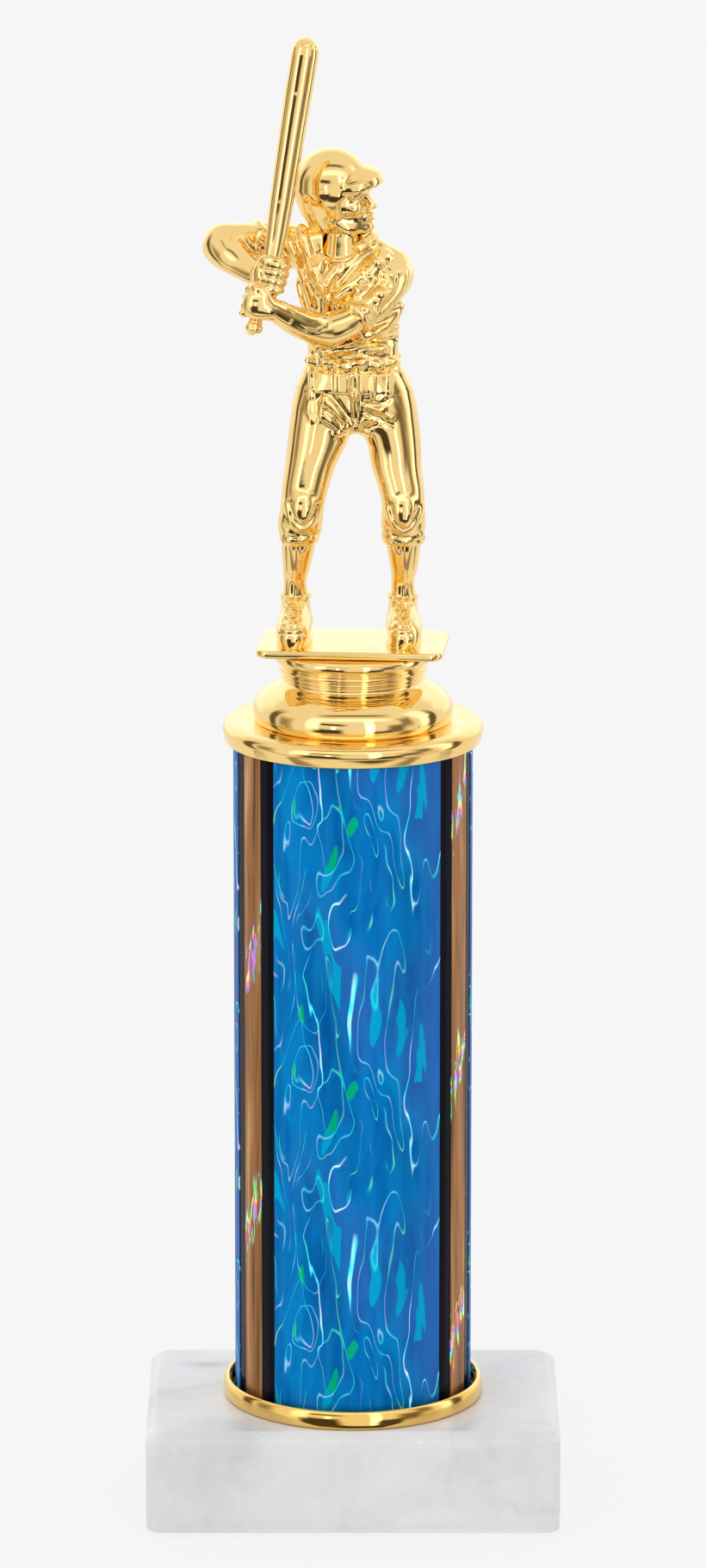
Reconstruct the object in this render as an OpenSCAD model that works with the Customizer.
// Column trophy: a gilt batter on a plate and riser, a column wrapped in foil strips,
// and a marble block, all clamped together by one threaded rod up the middle.
// Millimetres, +Z up. The origin is the middle of the underside, level with the felt pads' soles.
// The figure's right is -X, and it faces -Y.

/* [Marble base] */
// Width of the block, left to right
base_w = 101.6; // [90:0.1:120]
// Depth of the block, front to back
base_d = 68; // [68:0.5:90]
// Height of the block
base_h = 26; // [22:0.5:40]
// Chamfer round the top face and down the upright corners
base_chamfer = 2.1; // [0.5:0.1:4]
// Depth of the recess underneath that hides the nut
recess_h = 11; // [10:0.5:14]
// Diameter of that recess
recess_d = 26; // [24:0.5:30]
// Diameter of each stick-on felt pad
felt_d = 13; // [8:0.5:14]
// Thickness of a felt pad
felt_t = 1; // [0.6:0.1:3]

/* [Column] */
// Outside diameter of the tube, without its foil
column_d = 58; // [50:0.5:60]
// Cut length of the tube
column_len = 168.3; // [80:0.1:300]
// Wall of the tube
column_wall = 1.5; // [1:0.1:3]
// Thickness of a foil strip
foil_t = 0.2; // [0.1:0.05:0.3]
// Angle that a wide blue panel covers
panel_deg = 87.5; // [60:0.5:95]
// Angle that a narrow gold stripe covers
stripe_deg = 14.5; // [8:0.5:20]
// Turn of the front panel's middle from the front of the base
column_yaw = 2.6; // [-60:0.1:60]
// Height of the ring at the foot of the column
ring_h = 4.7; // [3:0.1:8]
// How far the cap's skirt hangs over the tube
skirt_h = 3; // [2:0.1:6]

/* [Topper] */
// Height of the riser
riser_h = 17.5; // [17:0.1:19]
// Width of the figure's plate
plate_w = 45.5; // [42:0.5:60]
// Depth of the figure's plate
plate_d = 27; // [26:0.5:40]
// Thickness of the figure's plate
plate_t = 2; // [1.6:0.1:4]
// Turn of the topper from the front of the base
topper_yaw = -5; // [-60:0.5:60]

/* [Hardware] */
// Diameter of the threaded rod, a quarter inch
rod_d = 6.35; // [6:0.05:6.5]
// Width of the nut across its flats
nut_flats = 11.1; // [10.5:0.1:12]
// Height of the nut
nut_h = 5.6; // [4:0.1:5.8]

/* [Hidden] */

$fn = 96;
body_fn = 16;   // sides of the balls that the figure is hulled from
through = 1;    // how far a cutting solid runs past the face it opens
clear = 0.02;   // gap between a screwed or pressed pair in one body
repeats = 3;    // the foil pattern runs three times round the column

rod_r = rod_d / 2;
bolt_r = 4;                       // clearance holes for the rod
column_r = column_d / 2;
foil_r = column_r + foil_t;

// Heights of the stack, from the felt soles up
base_z = felt_t;
base_top = base_z + base_h;
ring_floor = 1.2;
tube_z = base_top + ring_floor;
tube_top = tube_z + column_len;
cap_deck = 2.2;
cap_top = tube_top + cap_deck;
riser_top = cap_top + riser_h;
plate_top = riser_top + plate_t;

// Fasteners under the base
washer_t = 1.4;
lock_t = 1.6;
washer_z = base_z + recess_h - washer_t;
lock_z = washer_z - lock_t;
nut_z = lock_z - nut_h;
rod_z = nut_z - 1.4;

// The boss under the plate, and the brass insert in it
boss_r = 7.2;
boss_h = 11;
insert_r = 4.75;
insert_h = 9;
rod_top = riser_top - boss_h + insert_h - 1.5;

gilt = [0.86, 0.66, 0.28];

// The batter, from the top of the plate, in the topper's own axes: [x, y, z, radius]
right_leg = [
    [-7.6, 0.3, 53.5, 7], [-10.5, -2.6, 42, 6], [-11.9, -4.8, 34.5, 5.4], [-12.5, -4, 28.5, 5],
    [-13, -2.4, 23.5, 4.1], [-13.6, -0.8, 18, 3.5], [-14.1, 0.6, 12, 2.9]
];
left_leg = [
    [7.8, 1.5, 53.5, 7], [11, -1.1, 42, 5.9], [12.2, -3, 34.5, 5.4], [12.3, -2.4, 28.5, 5.1],
    [12, -0.5, 23.5, 4.3], [11.8, 1, 18, 3.5], [11.8, 2.6, 12, 3]
];
right_arm = [
    [-12.5, 0.2, 95.2, 5.2], [-22, -2, 97.8, 4.9], [-29.9, -5.4, 97.6, 4.9], [-25, -11.5, 94, 3.4],
    [-21, -16, 92.3, 2.8]
];
left_arm = [
    [9.2, 0.9, 92, 5], [10.1, -1.1, 90.3, 4.6], [5.7, -7.5, 85.5, 4.2], [1.5, -10.9, 81.7, 4.2],
    [-5.5, -13.5, 78.9, 3.9], [-11.7, -18.1, 81.8, 3.5], [-16.5, -22, 85.3, 2.8]
];
// The trunk, as ellipsoids: [x, y, z, half width, half depth, half height]
trunk = [
    [0.2, 0.8, 53, 15.3, 7.4, 5], [0.2, 0.6, 60, 14, 7.2, 4], [0.2, 0, 71, 11.4, 6.4, 3],
    [-0.2, -0.6, 80, 12, 7.2, 4], [-1, -0.4, 92, 12.4, 6.8, 4.8], [-1.8, -0.2, 97.5, 8.6, 5, 3.4]
];
neck = [[-1.6, 0, 96, 4.6], [-3, -0.8, 105, 4]];
head_at = [-4.9, -0.4, 112.3];  // middle of the helmet
head_turn = 70;                 // turn of the face from the front, towards the figure's left
helmet_r = 8.9;
right_fist = [-17.7, -19.6, 92.8, 3.9];
left_fist = [-20.2, -21.3, 86.2, 3.9];
knob_at = [-21.8, -22.4, 80.6];
bat_tip = [-10, -8.7, 148.4];

// Places a shape on the cap, turned with the topper
module on_cap() {
    rotate([0, 0, topper_yaw])
        translate([0, 0, cap_top])
            children();
}

// A rod-clearance hole through everything between two heights
module rod_hole(z0, z1, r = bolt_r) {
    translate([0, 0, z0 - through])
        cylinder(r = r, h = z1 - z0 + 2 * through);
}

// A ring with a square section
module flat_ring(r_out, r_in, h) {
    difference() {
        cylinder(r = r_out, h = h);
        rod_hole(0, h, r_in);
    }
}

// A rectangle with its corners cut off
module cut_rect(w, d, c) {
    polygon([
        [-w / 2 + c, -d / 2], [w / 2 - c, -d / 2], [w / 2, -d / 2 + c], [w / 2, d / 2 - c],
        [w / 2 - c, d / 2], [-w / 2 + c, d / 2], [-w / 2, d / 2 - c], [-w / 2, -d / 2 + c]
    ]);
}

// The side view of a block with a chamfered top
module chamfered_side(w, h, c) {
    polygon([[-w / 2, 0], [w / 2, 0], [w / 2, h - c], [w / 2 - c, h], [-w / 2 + c, h], [-w / 2, h - c]]);
}

module marble_base() {
    color("gainsboro")
    translate([0, 0, base_z])
    difference() {
        intersection() {
            linear_extrude(base_h)
                cut_rect(base_w, base_d, base_chamfer);
            rotate([90, 0, 0])
                linear_extrude(base_d, center = true)
                    chamfered_side(base_w, base_h, base_chamfer);
            rotate([90, 0, 90])
                linear_extrude(base_w, center = true)
                    chamfered_side(base_d, base_h, base_chamfer);
        }
        rod_hole(0, base_h);
        translate([0, 0, -through])
            cylinder(d = recess_d, h = recess_h + through);
    }
}

// One felt pad, set in from a corner of the base
module felt_pad(side, end) {
    inset = felt_d / 2 + 7;
    color("darkgreen")
    translate([side * (base_w / 2 - inset), end * (base_d / 2 - inset), 0])
        cylinder(d = felt_d, h = felt_t);
}

module base_washer() {
    color("silver")
    translate([0, 0, washer_z])
        flat_ring(11, 3.8, washer_t);
}

// The ring's floor carries the tube, and its rolled lip stands a little clear of the foil
module column_ring() {
    lip_r = foil_r + 0.9;
    bead = 1;
    color(gilt)
    translate([0, 0, base_top])
    rotate_extrude() {
        translate([bolt_r, 0])
            square([lip_r + bead - bolt_r, ring_floor]);
        polygon(concat(
            [[lip_r, 0], [lip_r + 1.3, 0], [lip_r + 1.9, 0.8]],
            [for (a = [-10 : 10 : 170])
                [lip_r + bead + bead * cos(a) * 1.05, ring_h - 2.2 + 2.2 * sin(a)]],
            [[lip_r, ring_h - 1.2]]
        ));
    }
}

module column_tube() {
    color([0.07, 0.07, 0.1])
    translate([0, 0, tube_z])
        flat_ring(column_r, column_r - column_wall, column_len);
}

// A strip of foil stuck to the tube, its middle at the given turn
module foil_strip(turn, width) {
    gap = 0.4;  // the strip stops short of the ring's floor and the cap's deck
    rotate([0, 0, turn - 90 - width / 2])
    translate([0, 0, tube_z + gap])
    rotate_extrude(angle = width)
        translate([column_r, 0])
            square([foil_t, column_len - 2 * gap]);
}

module blue_panel(i) {
    color([0.02, 0.42, 0.72])
        foil_strip(column_yaw + i * 360 / repeats, panel_deg);
}

module gold_stripe(i) {
    color([0.69, 0.48, 0.32])
        foil_strip(column_yaw + (i + 0.5) * 360 / repeats, stripe_deg);
}

// A deck over the tube's end, a rounded rim and a skirt
module column_cap() {
    skirt_r = foil_r + 0.4;
    rim_r = 1.7;
    rim_at = foil_r + 2.55 - rim_r;
    color(gilt)
    translate([0, 0, tube_top])
    rotate_extrude() {
        translate([bolt_r, 0])
            square([rim_at - bolt_r, cap_deck]);
        polygon(concat(
            [[skirt_r, 0.5], [skirt_r, -skirt_h], [rim_at + 1.1, -skirt_h], [rim_at + 1.5, -skirt_h + 0.9]],
            [for (a = [-20 : 7.5 : 85]) [rim_at + rim_r * cos(a), rim_r * sin(a) + cap_deck - rim_r]],
            [[rim_at - 0.5, cap_deck]]
        ));
    }
}

// Half of the riser's turned outline, from the foot to the plate
function riser_outline() = concat(
    [[22.9, 0], [23.5, 0.3], [24.1, 1.1], [24.35, 2.1], [24.3, 3.4], [24, 4.4], [23.5, 5.4], [22.7, 6.4]],
    [[21.7, 7.3], [20.5, 8.1], [19.3, 8.7], [18.3, 9.2], [17.6, 9.6]],
    [for (a = [-60 : 30 : 60]) [17.1 + 0.6 * cos(a), 10.3 + 0.55 * sin(a)]],
    [for (a = [-60 : 30 : 60]) [17.1 + 0.6 * cos(a), 11.9 + 0.6 * sin(a)]],
    [for (a = [-60 : 30 : 60]) [17.3 + 0.8 * cos(a), 13.7 + 0.8 * sin(a)]],
    [[18.2, 14.8], [19, 15.4], [19.3, 16.2], [19.3, riser_h - 0.7], [18.8, riser_h]]
);

module riser() {
    color(gilt)
    on_cap()
    rotate_extrude()
        difference() {
            polygon(concat([[boss_r + 0.3, 0]], riser_outline(), [[boss_r + 0.3, riser_h]]));
            polygon([
                [0, -through], [20.6, -through], [20.6, 3.2], [19, 6.2], [15.4, 8],
                [15.4, riser_h - 2], [0, riser_h - 2]
            ]);
        }
}

// A plate with round corners and, underneath, the boss that holds the insert
module figure_plate() {
    corner = 4;
    boss_z = riser_h - boss_h;
    color(gilt)
    on_cap()
    difference() {
        union() {
            translate([0, 0, riser_h])
            linear_extrude(plate_t)
            union() {
                square([plate_w - 2 * corner, plate_d], center = true);
                square([plate_w, plate_d - 2 * corner], center = true);
                for (x = [-1, 1], y = [-1, 1])
                    translate([x * (plate_w / 2 - corner), y * (plate_d / 2 - corner)])
                        circle(corner);
            }
            translate([0, 0, boss_z])
                cylinder(r = boss_r, h = boss_h);
        }
        translate([0, 0, boss_z - through])
            cylinder(r = insert_r + clear, h = insert_h + through);
    }
}

module threaded_insert() {
    color("goldenrod")
    on_cap()
    translate([0, 0, riser_h - boss_h])
        flat_ring(insert_r, rod_r + clear, insert_h);
}

module check_rod() {
    color("silver")
    translate([0, 0, rod_z])
        cylinder(r = rod_r, h = rod_top - rod_z);
}

// A spring washer with its split
module lock_washer() {
    r_out = 6;
    split = 1;
    color("silver")
    translate([0, 0, lock_z])
    difference() {
        flat_ring(r_out, rod_r + 0.3, lock_t);
        translate([0, -split / 2, -through])
            cube([r_out + through, split, lock_t + 2 * through]);
    }
}

// A hexagon nut with its corners turned down at both faces
module hex_nut() {
    corner_r = nut_flats / 2 / cos(30);
    turned = 0.5;
    color("silver")
    translate([0, 0, nut_z])
    difference() {
        intersection() {
            cylinder(r = corner_r, h = nut_h, $fn = 6);
            rotate_extrude()
                polygon([
                    [0, 0], [corner_r - 2 * turned, 0], [corner_r, turned],
                    [corner_r, nut_h - turned], [corner_r - 2 * turned, nut_h], [0, nut_h]
                ]);
        }
        rod_hole(0, nut_h, rod_r + clear);
    }
}

// The bat stands along a line from its knob to its tip
module bat_solid(grow = 0) {
    run = bat_tip - knob_at;
    bat_len = norm(run);
    end_z = bat_len - 2.2;
    translate(knob_at)
    rotate([0, acos(run.z / bat_len), atan2(run.y, run.x)])
    rotate_extrude($fn = 32)
        polygon(concat(
            [[0, -grow], [1.5, -grow], [2.2 + grow, 0.7], [2.2 + grow, 1.5], [1.8 + grow, 2.3]],
            [[1.8 + grow, 13], [2.5 + grow, 24], [3.1 + grow, 42], [3.4 + grow, 62], [3.2 + grow, end_z]],
            [for (a = [30 : 20 : 90]) [3.2 * cos(a), end_z + 2.2 * sin(a) + grow]]
        ));
}

module bat() {
    color(gilt)
    on_cap()
    translate([0, 0, riser_h + plate_t])
        bat_solid();
}

module ball(b) {
    translate([b[0], b[1], b[2]])
        sphere(r = b[3], $fn = body_fn);
}

module ellipsoid(e) {
    translate([e[0], e[1], e[2]])
    scale([e[3], e[4], e[5]])
        sphere(r = 1, $fn = body_fn + 8);
}

// A limb that runs through a list of balls
module limb(balls) {
    for (i = [0 : len(balls) - 2])
        hull() {
            ball(balls[i]);
            ball(balls[i + 1]);
        }
}

// A shoe with its sole flat on the plate, from the ankle at x, y
module shoe(x, y, toe_out) {
    sole_h = 1.4;
    translate([x, y, 0])
    rotate([0, 0, toe_out]) {
        hull() {
            translate([0, -9.5, 0])
                cylinder(r = 4.2, h = sole_h, $fn = 24);
            translate([0, 1.6, 0])
                cylinder(r = 3.5, h = sole_h, $fn = 24);
        }
        hull() {
            ball([0, -9, 3.9, 3.8]);
            ball([0, 1.3, 3.7, 3.6]);
            ball([0, 0, 9.6, 3.6]);
        }
    }
}

// Helmet, brim, ear flap and a plain face, looking along -Y before the turn
module head() {
    translate(head_at)
    rotate([-3, -13, head_turn]) {
        sphere(r = helmet_r, $fn = body_fn + 8);
        hull() {
            translate([0, 0, -2])
                ellipsoid([0, 1, 0, 8, 8.4, 4]);
            ball([0, 4, -6, 4]);
        }
        hull() {
            ellipsoid([0, -2.2, -3, 6.3, 6.3, 6]);
            ball([0, -4.6, -9.6, 2.6]);
        }
        hull()
            for (x = [-1, 1]) {
                ball([x * 5.6, -5, 1.6, 0.9]);
                ball([x * 3.2, -11.6, 1.6, 0.9]);
            }
        for (x = [-1, 1])
            hull() {
                ball([x * 6.8, 0.5, -1, 1.6]);
                ball([x * 5.6, -0.2, -6.8, 1.6]);
            }
    }
}

module batter_figure() {
    color(gilt)
    on_cap()
    translate([0, 0, riser_h + plate_t])
    difference() {
        union() {
            for (l = [right_leg, left_leg, right_arm, left_arm, neck])
                limb(l);
            for (i = [0 : len(trunk) - 2])
                hull() {
                    ellipsoid(trunk[i]);
                    ellipsoid(trunk[i + 1]);
                }
            for (f = [right_fist, left_fist])
                ball(f);
            shoe(-14.1, 1.8, 1);
            shoe(12.2, 3.7, 5);
            head();
        }
        bat_solid(clear * 2);
    }
}

marble_base();
felt_pad(-1, -1);  // felt_pad_1
felt_pad(1, -1);  // felt_pad_2
felt_pad(1, 1);  // felt_pad_3
felt_pad(-1, 1);  // felt_pad_4
base_washer();
column_ring();
column_tube();
blue_panel(0);  // blue_panel_1
blue_panel(1);  // blue_panel_2
blue_panel(2);  // blue_panel_3
gold_stripe(0);  // gold_stripe_1
gold_stripe(1);  // gold_stripe_2
gold_stripe(2);  // gold_stripe_3
column_cap();
riser();
figure_plate();
threaded_insert();
batter_figure();
bat();
check_rod();
lock_washer();
hex_nut();
